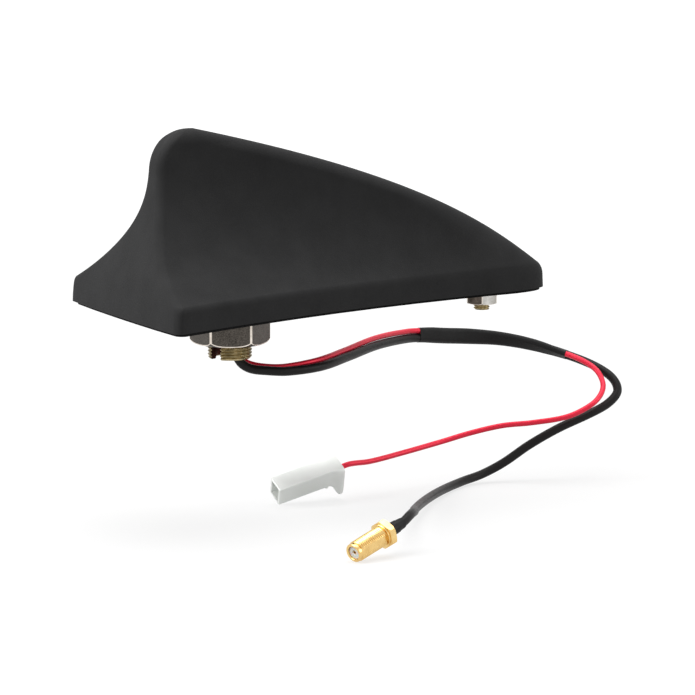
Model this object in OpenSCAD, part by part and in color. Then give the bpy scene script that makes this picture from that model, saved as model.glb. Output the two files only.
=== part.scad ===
// Shark fin roof aerial with its roof stud, nuts and leads.
// The origin is on the axis of the roof stud, at the outer skin of the roof.
// The nose points along +X and the roof lies in the XY plane.

/* [Cover] */
// Height of the crest above the roof
cover_h = 58; // [50:1:68]
// Width of the cover across its rear corners
cover_w = 77; // [68:1:86]
// Distance from the stud axis back to the rear edge
rear_reach = 36.8; // [33:0.1:42]
// Distance from the stud axis forward to the tip of the nose
nose_reach = 112.2; // [104:0.1:124]
// Height of the rim along the cover's sides and nose
rim_h = 9; // [7.5:0.5:11]
// Inward draft of the rim wall
rim_draft = 0.4; // [0.2:0.1:1]
// Radius along the top edge of the rim
rim_round = 1; // [0.6:0.1:1.8]
// Radius of the rim's top edge at the tip of the nose
nose_round = 2.4; // [1.8:0.1:3]
// Thickness of the fin blade near the crest
blade_t = 8.6; // [7.6:0.1:10]
// How far the rear face leans forward from lip to crest
rear_rake = 10.7; // [8:0.1:14]
// Half width of the rim where the nose starts to round
nose_half_w = 8.4; // [6.5:0.1:10]
// Radius of the top rear corner of the fin
crown_r = 12; // [8:0.5:14]
// Wall thickness of the cover
wall = 2; // [1.6:0.1:2.4]

/* [Base] */
// Thickness of the base plate
plate_t = 3; // [2.6:0.1:4]
// Thickness of the rubber gasket
gasket_t = 1.5; // [1.2:0.1:2.2]
// Depth of the shallow pocket in the gasket
gasket_pocket = 0.5; // [0.3:0.1:0.8]
// Width of the sealing bead along the gasket's edge
bead_w = 3; // [2:0.5:4]
// Gap between the cover's lower lip and the roof
lip_gap = 0.9; // [0.7:0.1:1.2]
// How far the gasket stands inside the cover's outline
seal_inset = 1.2; // [0.9:0.1:1.6]
// Clearance between the base plate and the cover
plate_gap = 0.3; // [0.2:0.05:0.5]

/* [Roof stud] */
// Radius of the roof stud over its thread
stud_r = 6.9; // [6:0.1:8]
// Radius of the cable way through the stud
stud_bore_r = 4.6; // [4.2:0.1:5.2]
// Length of the stud below the roof
stud_below = 14.3; // [12.5:0.1:20]
// Width of the slot across the end of the stud
slot_w = 3.9; // [3:0.1:4.4]
// Length of the slot from the end of the stud
slot_l = 11; // [6:0.5:12]
// Turn of the slot about the stud's axis
slot_turn = 21; // [0:1:60]
// Width of the roof nut across its flats
nut_af = 22; // [20:0.5:24]
// Height of the roof nut
nut_h = 8; // [6:0.5:9]
// Turn of the roof nut about the stud's axis
nut_turn = 28.4; // [0:0.1:60]
// Thickness of the toothed washer
washer_t = 1.1; // [0.8:0.1:1.4]

/* [Nose stud] */
// Distance from the tip of the nose back to the nose stud
nose_stud_inset = 22.2; // [20:0.1:27]
// Radius of the nose stud over its thread
nose_stud_r = 2.6; // [2.2:0.05:3]
// Length of the nose stud below the roof
nose_stud_below = 5.3; // [4.8:0.1:8]
// Width of the nose nut across its flats
nose_nut_af = 9.5; // [8:0.5:11]
// Height of the nose nut
nose_nut_h = 3.7; // [3:0.1:4.5]
// Turn of the nose nut about its stud
nose_nut_turn = 2; // [0:1:30]

/* [Electronics] */
// Height of the amplifier board above the base plate
board_lift = 4.5; // [3.5:0.1:5]
// Thickness of both circuit boards
board_t = 1.2; // [0.8:0.1:1.6]
// Gap between the amplifier board and the front bosses
board_clear = 11; // [9:0.5:14]
// Width of the amplifier board
board_w = 19; // [16:0.5:20]
// Height of the antenna board above the amplifier board
antenna_h = 34; // [20:1:36]
// Thickness of the copper track on the antenna board
track_t = 0.2; // [0.1:0.05:0.3]

/* [Leads] */
// Radius of the coaxial cable
coax_r = 1.45; // [1.3:0.05:1.5]
// Radius of the supply wire
wire_r = 0.9; // [0.7:0.05:0.95]
// Gap between the cable and the wire that lies on it
lead_gap = 0.05; // [0.02:0.01:0.1]
// Wall of the sleeve over both leads
sleeve_wall = 0.25; // [0.2:0.05:0.35]

/* [Aerial jack] */
// Radius of the jack's thread
jack_r = 3.175; // [3:0.025:3.4]
// Length of the jack in front of its hexagon
jack_l = 12.8; // [11:0.1:15]
// Width of the hexagon across its flats
jack_af = 8; // [7.5:0.1:9]
// Thickness of the hexagon
jack_hex_t = 2.4; // [2:0.1:3]
// Depth of the flat along the thread
jack_flat = 0.45; // [0.2:0.05:0.6]
// Radius of the white insulator in the jack
insulator_r = 2.05; // [1.8:0.05:2.3]
// Length of the heat shrink boot behind the jack
boot_l = 7; // [5.5:0.5:8]

/* [Supply plug] */
// Width of the plug housing
plug_w = 6.2; // [5.8:0.1:8]
// Depth of the plug housing
plug_d = 7.1; // [6.5:0.1:9]
// Length of the plug housing with its flange
plug_l = 23; // [20:0.5:28]
// Wall of the plug housing
plug_wall = 0.9; // [0.7:0.05:1.1]
// How far the flange stands out at its two ears
ear_out = 3.2; // [2:0.1:4]

/* [Hidden] */
$fn = 48;
eps = 0.01;

// Heights of the stacked parts
plate_z = gasket_t;
plate_top = plate_z + plate_t;
board_z = plate_top + board_lift;
board_top = board_z + board_t;
stud_pitch = nose_reach - nose_stud_inset;

// Outline of the cover
rim_hw = cover_w / 2 - rim_draft - rim_round;
crest_flat = 1.3;
crest_x = rear_rake + crown_r + crest_flat - rear_reach;
rear_bow = 0.8;
side_sag = 4.6;
flare_power = 3.44;
lean_start = 2.3;
lean_power = 5.8;
crest_linear = 0.534;
crest_power = 2.53;
rear_edge_r = 2.4;
crown_half_t = blade_t / 2;
nose_round_l = 20;
nose_steps = 7;
side_steps = 8;
corner_steps = 4;

// Share of the height between the rim and the crest
function rise(z) = max(0, min(1, (z - rim_h) / (cover_h - rim_h)));
// How far a round edge of radius r under the height top pulls in at a height
function round_in(z, r, top) = r - sqrt(pow(r, 2) - pow(max(0, min(r, z - top + r)), 2));
// How far the rim wall stands inside the lower lip at a height, with a top edge of radius r
function rim_in(z, r) = rim_draft * min(1, max(0, z - lip_gap) / (rim_h - lip_gap)) + round_in(z, r, rim_h);
function cap_in(z, r) = round_in(z, r, cover_h);
function flare(z) = pow(1 - rise(z), flare_power);
function crest_run(z) = crest_linear * rise(z) + (1 - crest_linear) * pow(rise(z), crest_power);
function nose_base(z) = nose_reach - rim_in(z, nose_round);
function crest_slope(z) = (nose_base(z) - crest_x) / (cover_h - rim_h)
    * (crest_linear + (1 - crest_linear) * crest_power * pow(rise(z), crest_power - 1));
// Half width of the cover at its rear edge
function rear_half_w(z) = z < rim_h
    ? cover_w / 2 - rim_in(z, rim_round)
    : max(0.35, crown_half_t + (rim_hw - crown_half_t) * flare(z) - cap_in(z, crown_half_t));
// The rear face is one hollow curve from the lip to the crest, with no rim
function lean(z) =
    let (t = max(0, min(1, (z - lip_gap) / (cover_h - lip_gap))))
    1 - pow(1 - pow(t, lean_start), lean_power);
function rear_x(z) = -rear_reach + rear_rake * lean(z) + cap_in(z, crown_r);
function nose_x(z) = nose_base(z) - (nose_base(z) - crest_x) * crest_run(z);
function nose_w(z) = crown_half_t + (nose_half_w - crown_half_t) * pow(1 - rise(z), 4);

// Half of a level section, from the middle of the rear face round to the nose
function half_section(z, in) =
    let (
        y1 = max(0.35, rear_half_w(z) - in),
        x0 = rear_x(z) + in,
        x1 = nose_x(z) - in,
        er = min(rear_edge_r, y1 * 0.7),
        bow = rear_bow * (1 - rise(z)),
        span = max(2, x1 - x0 - er),
        nl = min(span * 0.6, max(nose_round_l * (1 - rise(z)), crown_half_t * crest_slope(z))),
        nw = min(y1, max(0.3, nose_w(z) - in)),
        sag = side_sag * (1 - rise(z)) * (1 - rise(z)),
        xs = x0 + er,
        xe = x1 - nl
    )
    concat(
        [for (k = [0 : 2]) let (y = (y1 - er) * k / 3) [x0 - bow * (1 - pow(y / y1, 2)), y]],
        [for (k = [0 : corner_steps]) let (a = 90 * k / corner_steps)
            [xs - er * cos(a), y1 - er + er * sin(a)]],
        [for (k = [1 : side_steps]) let (t = k / side_steps)
            [xs + (xe - xs) * t, y1 + (nw - y1) * t - 4 * sag * t * (1 - t)]],
        [for (k = [1 : nose_steps]) let (a = 90 * k / nose_steps)
            [xe + nl * sin(a), nw * cos(a)]]
    );
function section(z, in) =
    let (h = half_section(z, in), n = len(h))
    concat(
        [for (k = [n - 1 : -1 : 0]) h[k] ],
        [for (k = [1 : n - 2]) [h[k][0], -h[k][1]]]
    );
function raise(points, z) = [for (p = points) [p[0], p[1], z]];
function cover_level(t) = rim_h + (cover_h - rim_h) * (1 - pow(1 - t, 1.25)) - eps * t;

outer_levels = concat(
    [lip_gap],
    [for (k = [1, 0.6, 0.4, 0.25, 0.12, 0.04, 0]) rim_h - nose_round * k],
    [for (k = [1 : 26]) cover_level(k / 26)]
);
// The cavity is the outer form moved down and in, so the wall is even on steep and flat faces
inner_drop = wall * 0.9;
inner_top = cover_h - inner_drop - wall;
inner_levels = concat(
    [lip_gap, rim_h - nose_round - inner_drop, rim_h - inner_drop],
    [for (k = [1 : 16]) (rim_h - inner_drop)
        + (inner_top - rim_h + inner_drop) * (1 - pow(1 - k / 16, 1.2))]
);

// Triangles between ring i and the ring after it, seen from outside
function band(i, n, first = 0) = [for (j = [0 : n - 1])
    let (a = first + i * n + j, b = first + i * n + (j + 1) % n)
    each [[a, b, b + n], [a, b + n, a + n]]];
function flipped(faces) = [for (f = faces) [for (k = [len(f) - 1 : -1 : 0]) f[k]]];

// Lofted shell: outer skin, cavity skin and the flat lip that joins them
module cover_shell() {
    outer = [for (z = outer_levels) each raise(section(z, 0), z)];
    inner = [for (z = inner_levels) each raise(section(z + inner_drop, wall), z)];
    n = len(section(rim_h, 0));
    no = len(outer_levels);
    ni = len(inner_levels);
    start = no * n;
    skin = [for (i = [0 : no - 2]) each band(i, n)];
    cavity = [for (i = [0 : ni - 2]) each band(i, n, start)];
    lip = [for (j = [0 : n - 1]) let (k = (j + 1) % n)
        each [[j, start + j, start + k], [j, start + k, k]]];
    polyhedron(
        points = concat(outer, inner),
        faces = concat(
            skin,
            [[for (j = [0 : n - 1]) (no - 1) * n + j]],
            flipped(cavity),
            [[for (j = [n - 1 : -1 : 0]) start + (ni - 1) * n + j]],
            flipped(lip)
        ),
        convexity = 6
    );
}

// Screws that hold the base plate to the cover
rear_screw_inset = 11;
rear_screw_side = 15.5;
front_screw_inset = 62.2;
rear_screw_x = rear_screw_inset - rear_reach;
rear_screw_y = cover_w / 2 - rear_screw_side;
front_screw_x = nose_reach - front_screw_inset;
front_screw_y = 6.2;
screw_spots = [
    [rear_screw_x, rear_screw_y], [rear_screw_x, -rear_screw_y],
    [front_screw_x, front_screw_y], [front_screw_x, -front_screw_y]
];
screw_r = 1.25;
screw_head_r = 2.8;
screw_head_h = 1.7;
screw_reach = 6;
boss_r = 3;
boss_cover = 0.9;
boss_bore_gap = 0.1;
boss_bore_extra = 0.2;
seat_gap = 0.1;
shank_gap = 0.25;
head_gap = 0.3;
drive_l = 3.2;
drive_w = 0.7;
drive_d = 1;
// Half width of the cover at a height z and a place x along it
function side_y(z, x) = let (
        y1 = rear_half_w(z),
        xs = rear_x(z) + rear_edge_r,
        xe = nose_x(z) - max(nose_round_l * (1 - rise(z)), crown_half_t * crest_slope(z)),
        t = max(0, (x - xs) / (xe - xs))
    )
    y1 + (nose_w(z) - y1) * t - 4 * side_sag * pow(1 - rise(z), 2) * t * (1 - t);
// Height of the cover's skin over a place beside its middle
function skin_z(x, y) = max([for (z = [rim_h : 0.2 : cover_h * 0.7]) if (side_y(z, x) >= y) z]);

module cover_bosses() {
    seat = plate_top + seat_gap;
    for (s = screw_spots) translate([s[0], s[1], seat]) difference() {
        cylinder(r = boss_r, h = skin_z(s[0], abs(s[1]) + boss_r) - boss_cover - seat);
        translate([0, 0, -eps])
            cylinder(r = screw_r + boss_bore_gap, h = screw_reach + boss_bore_extra);
    }
}

module fin_cover() {
    color([0.12, 0.12, 0.12]) union() {
        cover_shell();
        cover_bosses();
    }
}

// Plan of a part that fits inside the drafted wall of the cover, by its highest point
module inner_plan(top, in) {
    polygon(section(top + inner_drop, wall + in));
}

board_x0 = -18;
board_x1 = front_screw_x - boss_r - board_clear;
post_inset = 4;
board_posts = [[board_x0 + post_inset, 0], [board_x1 - post_inset, 0]];
post_r = 2.6;
post_floor = 0.5;
board_screw_r = 1.2;
board_screw_gap = 0.05;
stud_hole_gap = 0.15;
nose_flange_r = 4.4;
nose_flange_t = 1.2;

module base_plate() {
    color([0.16, 0.16, 0.17]) difference() {
        union() {
            translate([0, 0, plate_z]) linear_extrude(plate_t) inner_plan(plate_top, plate_gap);
            for (p = board_posts)
                translate([p[0], p[1], plate_top - eps]) cylinder(r = post_r, h = board_lift + eps);
        }
        translate([0, 0, -eps]) cylinder(r = stud_r + stud_hole_gap, h = board_z);
        translate([stud_pitch, 0, -eps]) cylinder(r = nose_stud_r + stud_hole_gap, h = board_z);
        for (s = screw_spots) translate([s[0], s[1], plate_z]) {
            translate([0, 0, -1]) cylinder(r = screw_r + shank_gap, h = plate_t + 2);
            translate([0, 0, -1]) cylinder(r = screw_head_r + head_gap, h = screw_head_h + 1);
        }
        for (p = board_posts) translate([p[0], p[1], plate_top + post_floor])
            cylinder(r = board_screw_r + board_screw_gap, h = board_lift + 1);
    }
}

// Rubber sheet with a thin foot under the cover's lip and a sealing bead along its edge and round each stud
stud_ring_r = 13;
nose_ring_r = 6.2;
screw_ring = 2;
foot_gap = 0.1;

module seal_gasket() {
    color([0.06, 0.06, 0.06]) difference() {
        union() {
            linear_extrude(gasket_t) inner_plan(plate_z, plate_gap);
            linear_extrude(lip_gap - foot_gap) polygon(section(lip_gap, seal_inset));
        }
        difference() {
            translate([0, 0, -1]) linear_extrude(1 + gasket_pocket) inner_plan(plate_z, bead_w);
            translate([0, 0, -2]) cylinder(r = stud_ring_r, h = 4);
            translate([stud_pitch, 0, -2]) cylinder(r = nose_ring_r, h = 4);
            for (s = screw_spots)
                translate([s[0], s[1], -2]) cylinder(r = screw_head_r + screw_ring, h = 4);
        }
        translate([0, 0, -1]) cylinder(r = stud_r + stud_hole_gap, h = gasket_t + 2);
        translate([stud_pitch, 0, -1]) cylinder(r = nose_stud_r + stud_hole_gap, h = gasket_t + 2);
        for (s = screw_spots)
            translate([s[0], s[1], -1]) cylinder(r = screw_head_r + head_gap, h = gasket_t + 2);
    }
}

// Hollow threaded stud with a wide flange that sits on the base plate
flange_r = 10.4;
flange_t = 2;
stud_chamfer = 0.6;

module roof_stud() {
    color([0.62, 0.57, 0.4]) difference() {
        union() {
            translate([0, 0, stud_chamfer - stud_below]) cylinder(r = stud_r, h = stud_below + plate_top);
            translate([0, 0, -stud_below])
                cylinder(r1 = stud_r - stud_chamfer, r2 = stud_r, h = stud_chamfer);
            translate([0, 0, plate_top]) cylinder(r = flange_r, h = flange_t);
        }
        translate([0, 0, -stud_below - 1])
            cylinder(r = stud_bore_r, h = stud_below + plate_top + flange_t + 2);
        rotate([0, 0, slot_turn]) translate([-stud_r - 1, -slot_w / 2, -stud_below - 1])
            cube([2 * stud_r + 2, slot_w, slot_l + 1]);
    }
}

// Hexagon nut with both rims chamfered
module hex_nut(af, h, bore_r, chamfer) {
    corner_r = af / (2 * cos(30));
    difference() {
        intersection() {
            cylinder(r = corner_r, h = h, $fn = 6);
            rotate_extrude($fn = 60) polygon([
                [0, 0], [corner_r - chamfer, 0], [corner_r, chamfer * 0.7],
                [corner_r, h - chamfer * 0.7], [corner_r - chamfer, h], [0, h]
            ]);
        }
        translate([0, 0, -1]) cylinder(r = bore_r, h = h + 2);
    }
}

nut_gap = 0.03;
nut_chamfer = 1.7;
nose_nut_chamfer = 0.6;
nose_chamfer = 0.4;

module roof_nut() {
    color([0.6, 0.57, 0.5]) translate([0, 0, -washer_t - nut_h]) rotate([0, 0, nut_turn])
        hex_nut(nut_af, nut_h, stud_r + nut_gap, nut_chamfer);
}

washer_r = 12;
washer_gap = 0.35;
washer_teeth = 18;
tooth_w = 1.4;
tooth_l = 1.6;

module toothed_washer() {
    color([0.66, 0.64, 0.58]) translate([0, 0, -washer_t]) difference() {
        cylinder(r = washer_r, h = washer_t);
        translate([0, 0, -1]) cylinder(r = stud_r + washer_gap, h = washer_t + 2);
        for (k = [0 : washer_teeth - 1]) rotate([0, 0, 360 * k / washer_teeth])
            translate([washer_r - tooth_l, -tooth_w / 2, -1]) cube([tooth_l + 1, tooth_w, washer_t + 2]);
    }
}

module nose_stud() {
    color([0.7, 0.68, 0.62]) translate([stud_pitch, 0, 0]) union() {
        translate([0, 0, nose_chamfer - nose_stud_below])
            cylinder(r = nose_stud_r, h = nose_stud_below + plate_top - nose_chamfer);
        translate([0, 0, -nose_stud_below])
            cylinder(r1 = nose_stud_r - nose_chamfer, r2 = nose_stud_r, h = nose_chamfer);
        translate([0, 0, plate_top]) cylinder(r = nose_flange_r, h = nose_flange_t);
    }
}

module nose_nut() {
    color([0.72, 0.7, 0.66]) translate([stud_pitch, 0, -nose_nut_h]) rotate([0, 0, nose_nut_turn])
        hex_nut(nose_nut_af, nose_nut_h, nose_stud_r + nut_gap, nose_nut_chamfer);
}

module cover_screws() {
    color([0.6, 0.6, 0.6]) for (s = screw_spots) translate([s[0], s[1], plate_z]) difference() {
        union() {
            cylinder(r = screw_head_r, h = screw_head_h);
            translate([0, 0, screw_head_h]) cylinder(r = screw_r, h = plate_t - screw_head_h + screw_reach);
        }
        for (a = [0, 90]) rotate([0, 0, a])
            translate([-drive_l / 2, -drive_w / 2, -0.1]) cube([drive_l, drive_w, drive_d + 0.1]);
    }
}

antenna_inset = 8;
antenna_x0 = board_x0 + antenna_inset;
antenna_x1 = board_x1 - antenna_inset;
antenna_slope_l = 14;
antenna_corner = 2;
board_hole_gap = 0.2;
board_screw_head_r = 2.2;
board_screw_head_h = 1.3;
can_inset = 31;
can_x = board_x1 - can_inset;
can_edge = 0.8;
can_l = 15;
can_w = 7;
can_h = 3.2;
can_wall = 0.3;

module amplifier_board() {
    color([0.12, 0.35, 0.2]) difference() {
        translate([board_x0, -board_w / 2, board_z]) cube([board_x1 - board_x0, board_w, board_t]);
        for (p = board_posts) translate([p[0], p[1], board_z - 1])
            cylinder(r = board_screw_r + board_hole_gap, h = board_t + 2);
    }
}

module board_screws() {
    color([0.7, 0.7, 0.72]) for (p = board_posts) translate([p[0], p[1], 0]) union() {
        translate([0, 0, board_top]) cylinder(r = board_screw_head_r, h = board_screw_head_h);
        translate([0, 0, plate_top + 1]) cylinder(r = board_screw_r, h = board_top - plate_top - 1 + eps);
    }
}

module shield_can() {
    color([0.78, 0.78, 0.76]) translate([can_x, can_edge - board_w / 2, board_top]) difference() {
        cube([can_l, can_w, can_h]);
        translate([can_wall, can_wall, -1])
            cube([can_l - 2 * can_wall, can_w - 2 * can_wall, can_h + 1 - can_wall]);
    }
}

// Upright board in the blade of the fin, cut to follow the crest
module antenna_board() {
    color([0.14, 0.4, 0.24]) translate([0, board_t / 2, board_top]) rotate([90, 0, 0])
        linear_extrude(board_t) polygon([
            [antenna_x0, 0], [antenna_x1, 0], [antenna_x1, antenna_h * 0.7],
            [antenna_x1 - antenna_slope_l, antenna_h * 0.88],
            [antenna_x0 + antenna_corner, antenna_h], [antenna_x0, antenna_h - antenna_corner]
        ]);
}

// Copper track that climbs the antenna board in level runs
track_w = 1.2;
track_runs = 8;
track_foot = 1;
track_pitch = antenna_h * 0.088;

module antenna_track() {
    x0 = antenna_x0 + antenna_corner;
    x1 = antenna_x1 - antenna_corner;
    color([0.72, 0.45, 0.2]) translate([0, -board_t / 2 - track_t, board_top]) union() {
        for (k = [0 : track_runs - 1]) {
            translate([x0, 0, track_foot + k * track_pitch])
                cube([x1 - x0, track_t, track_w]);
            if (k < track_runs - 1)
                translate([k % 2 == 0 ? x1 - track_w : x0, 0, track_foot + k * track_pitch])
                    cube([track_w, track_t, track_pitch + track_w]);
        }
    }
}

// Frames carried along a route without twist
function unit(v) = v / norm(v);
function tangent(p, i) = unit(p[min(i + 1, len(p) - 1)] - p[max(i - 1, 0)]);
function carried(n, t) = unit(n - t * (n * t));
function normals(p) = [for (i = 0, n = carried([1, 0.2, 0], tangent(p, 0)); i < len(p);
    i = i + 1, n = i < len(p) ? carried(n, tangent(p, i)) : n) n];
function ring(c, n, t, r, sides) = let (b = cross(t, n))
    [for (k = [0 : sides - 1]) let (a = 360 * k / sides) c + r * (n * cos(a) + b * sin(a))];
function tube_points(p, r, sides) = let (ns = normals(p))
    [for (i = [0 : len(p) - 1]) each ring(p[i], ns[i], tangent(p, i), r, sides)];

// Round lead along a route
module lead(p, r, sides) {
    m = len(p);
    polyhedron(
        points = tube_points(p, r, sides),
        faces = concat(
            flipped([for (i = [0 : m - 2]) each band(i, sides)]),
            [[for (j = [0 : sides - 1]) j]],
            [[for (j = [sides - 1 : -1 : 0]) (m - 1) * sides + j]]
        )
    );
}

// Outline that hugs two round leads, seen across them: big about a, small about b
function hug_ring(a, b, t, ra, rb) =
    let (
        u = unit(b - a),
        v = cross(t, u),
        turn = acos((ra - rb) / norm(b - a))
    )
    concat(
        [for (k = [0 : hug_back_steps]) let (w = turn + (360 - 2 * turn) * k / hug_back_steps)
            a + ra * (u * cos(w) + v * sin(w))],
        [for (k = [0 : hug_front_steps]) let (w = -turn + 2 * turn * k / hug_front_steps)
            b + rb * (u * cos(w) + v * sin(w))]
    );

// The jack rests with its tip on the bench, the plug on its nose and flange
jack_at = [18.9, -68, -58.8];
jack_yaw = -161.8;
jack_dip = 16.1;
plug_at = [44.8, 12.2, -55.4];
plug_yaw = 177.1;
plug_dip = 14.5;
plug_roll = 30;

// Route of the coaxial cable from the amplifier board to the jack
coax_start = [[1.2, 0.4, board_z], [1.2, 0.4, -7]];
coax_route = [
    [1.6, -0.3, -12], [2.8, -1.6, -15.8], [5.4, -3.4, -17.7],
    [9.7, -6, -18.1], [16, -8.2, -17.8], [28, -6.6, -17.3], [43, 3.6, -17.2], [61.5, 17.6, -17.4],
    [79, 29.6, -17.9], [87, 32.2, -18.3], [95, 33.7, -18.9], [105, 34.2, -20], [116, 33, -21.6],
    [126, 29.6, -23.8], [134, 24.2, -26.2],
    [140.4, 16.8, -29.2], [144.2, 10.6, -32.2], [145.4, 7.2, -35], [144.6, 5.2, -37.8], [140.6, 4.6, -41],
    [134, 4.8, -44.2], [124.1, 8.4, -49.2], [115.6, 12.5, -54.6], [107.5, 15.4, -59.4], [100.2, 16.5, -62.7],
    [92.3, 14.5, -64.3], [82, 7.3, -64.5], [70.2, -4.8, -63.4], [56, -22.8, -61.4], [43.7, -40.3, -59.2],
    [37.6, -51, -57.2], [32.7, -59.4, -55.9], [29.5, -63.2, -55.9]
];
// Point on a connector's axis, measured forward from its rear face
function along(at, yaw, dip, d) = at + d * [cos(dip) * cos(yaw), cos(dip) * sin(yaw), -sin(dip)];
jack_tail = [for (d = [-7, 0]) along(jack_at, jack_yaw, jack_dip, d)];
plug_tail = [for (d = [-4, 0]) along(plug_at, plug_yaw, plug_dip, d)];
coax_path = concat(coax_start, coax_route, jack_tail);

// The wire lies on the cable from the stud to the far end of the sleeve, and rolls to its near side there
hug_first = 5;
hug_rolls = [0, 0, 0, 0, 0, 0, 0, 5, 12, 22, 35, 50];
sleeve_first = 11;
sleeve_last = 16;
lead_pitch = coax_r + wire_r + lead_gap;
function beside(i, roll) =
    let (t = tangent(coax_path, i), n = carried([0, 0, 1], t))
    coax_path[i] + lead_pitch * (n * cos(roll) + cross(t, n) * sin(roll));

// Route of the supply wire from the amplifier board to the plug
wire_start = [[-1.8, -1.6, board_z], [-1.8, -1.6, -7]];
wire_fall = [[-1.7, -1.6, -11], [-0.4, -2.6, -14.6], [3.6, -5, -15.7]];
wire_hug = [for (k = [0 : len(hug_rolls) - 1]) beside(hug_first + k, hug_rolls[k])];
wire_free = [
    [137.2, 15.6, -27.4], [139.6, 10.2, -30.6], [139.6, 6, -34.2], [137.4, 2.8, -37.4], [132.4, 1.4, -40.2],
    [124.5, 3.6, -43], [115, 9.6, -45.8], [106.9, 14.8, -47.6], [97.5, 18.8, -49.4], [86.3, 19.8, -51.4],
    [70.3, 17.2, -53.2], [57, 14, -54]
];
wire_path = concat(wire_start, wire_fall, wire_hug, wire_free, plug_tail);

module coax_cable() {
    color([0.1, 0.1, 0.1]) lead(coax_path, coax_r, 8);
}

module supply_wire() {
    color([0.85, 0.1, 0.18]) lead(wire_path, wire_r, 8);
}

// Heat shrink round the cable and the wire together
hug_back_steps = 6;
hug_front_steps = 4;
sleeve_fit = 0.15;

module cord_sleeve() {
    stations = [for (i = [sleeve_first : sleeve_last]) i];
    coax = [for (i = stations) coax_path[i]];
    wire = [for (i = stations) wire_hug[i - hug_first]];
    dirs = [for (i = stations) tangent(coax_path, i)];
    sides = hug_back_steps + hug_front_steps + 2;
    m = len(stations);
    start = m * sides;
    grow = sleeve_fit + sleeve_wall;
    outer = [for (k = [0 : m - 1]) each hug_ring(coax[k], wire[k], dirs[k], coax_r + grow, wire_r + grow)];
    inner = [for (k = [0 : m - 1])
        each hug_ring(coax[k], wire[k], dirs[k], coax_r + sleeve_fit, wire_r + sleeve_fit)];
    near_end = [for (j = [0 : sides - 1]) let (k = (j + 1) % sides)
        each [[j, k, start + k], [j, start + k, start + j]]];
    far_end = [for (f = near_end) [for (v = f) v + (m - 1) * sides]];
    color([0.13, 0.13, 0.13]) polyhedron(
        points = concat(outer, inner),
        faces = concat(
            flipped([for (i = [0 : m - 2]) each band(i, sides)]),
            [for (i = [0 : m - 2]) each band(i, sides, start)],
            near_end,
            flipped(far_end)
        )
    );
}

// Places a part with its own Z axis along a connector's axis
module on_axis(at, yaw, dip, roll = 0) {
    translate(at) rotate([0, 90 + dip, yaw]) rotate([0, 0, roll]) children();
}

stem_r = 1.8;
stem_bore_r = 1.5;
stem_l = 5;
boot_t = 0.25;

module boot_sleeve() {
    color([0.12, 0.12, 0.12]) on_axis(jack_at, jack_yaw, jack_dip) translate([0, 0, -boot_l]) difference() {
        cylinder(r = stem_r + boot_t, h = boot_l);
        translate([0, 0, -1]) cylinder(r = stem_r + 0.02, h = boot_l + 2);
    }
}

jack_bore_l = 12;
jack_shoulder_t = 0.5;
jack_shoulder_out = 0.55;
jack_band_l = 1.2;
jack_band_in = 0.25;

module jack_body() {
    tip = jack_hex_t + jack_l;
    color([0.86, 0.68, 0.3]) on_axis(jack_at, jack_yaw, jack_dip) difference() {
        union() {
            translate([0, 0, -stem_l]) cylinder(r = stem_r, h = stem_l + 1);
            cylinder(r = jack_af / (2 * cos(30)), h = jack_hex_t, $fn = 6);
            translate([0, 0, jack_hex_t - eps])
                cylinder(r = jack_r + jack_shoulder_out, h = jack_shoulder_t + eps);
            translate([0, 0, jack_hex_t]) cylinder(r = jack_r, h = jack_l - jack_band_l);
            translate([0, 0, tip - jack_band_l - eps])
                cylinder(r = jack_r - jack_band_in, h = jack_band_l + eps);
        }
        translate([0, 0, -stem_l - 1]) cylinder(r = stem_bore_r, h = stem_l + 1);
        translate([0, 0, tip - jack_bore_l]) cylinder(r = insulator_r + 0.02, h = jack_bore_l + 1);
        translate([-jack_r - 1, jack_r - jack_flat, jack_hex_t + jack_shoulder_t])
            cube([2 * jack_r + 2, 2, jack_l]);
    }
}

contact_r = 0.64;

module jack_insulator() {
    color([0.92, 0.92, 0.9]) on_axis(jack_at, jack_yaw, jack_dip)
        translate([0, 0, jack_hex_t + jack_l - jack_bore_l]) difference() {
            cylinder(r = insulator_r, h = jack_bore_l - 0.5);
            translate([0, 0, 1]) cylinder(r = contact_r + 0.02, h = jack_bore_l);
        }
}

module jack_contact() {
    color([0.88, 0.72, 0.35]) on_axis(jack_at, jack_yaw, jack_dip)
        translate([0, 0, jack_hex_t + jack_l - jack_bore_l + 1]) difference() {
            cylinder(r = contact_r, h = jack_bore_l - 1.7);
            translate([0, 0, jack_bore_l - 5]) cylinder(r = 0.4, h = 5);
        }
}

// Plug housing: a square tube with a solid rear and a flange that runs out into two ears
flange_l = 3.4;
ear_inset = 0.4;
plug_cavity_l = 14;
wire_hole_gap = 0.1;

module plug_outline(grow) {
    hw = plug_w / 2 + grow;
    hd = plug_d / 2 + grow;
    polygon([[-hd, -hw], [hd, -hw], [hd, hw], [-hd, hw]]);
}

module plug_ear(side) {
    // Flange and ear in one outline, drawn across the housing
    x0 = plug_d / 2 - 0.5;
    x1 = plug_d / 2 + ear_out;
    outline = [
        [x0, 0.6], [x1 - 1.6, 0], [x1 - 0.5, 0.4], [x1, 1.5], [x1 - 0.3, 2.7], [x1 - 1.2, 3.2],
        [x0 + 1.4, flange_l], [x0 + 0.9, flange_l + 1], [x0, flange_l + 2]
    ];
    rotate([90, 0, 0]) translate([0, 0, -plug_w / 2 + ear_inset]) linear_extrude(plug_w - 2 * ear_inset)
        polygon([for (q = outline) [side * q[0], q[1]]]);
}

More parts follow.
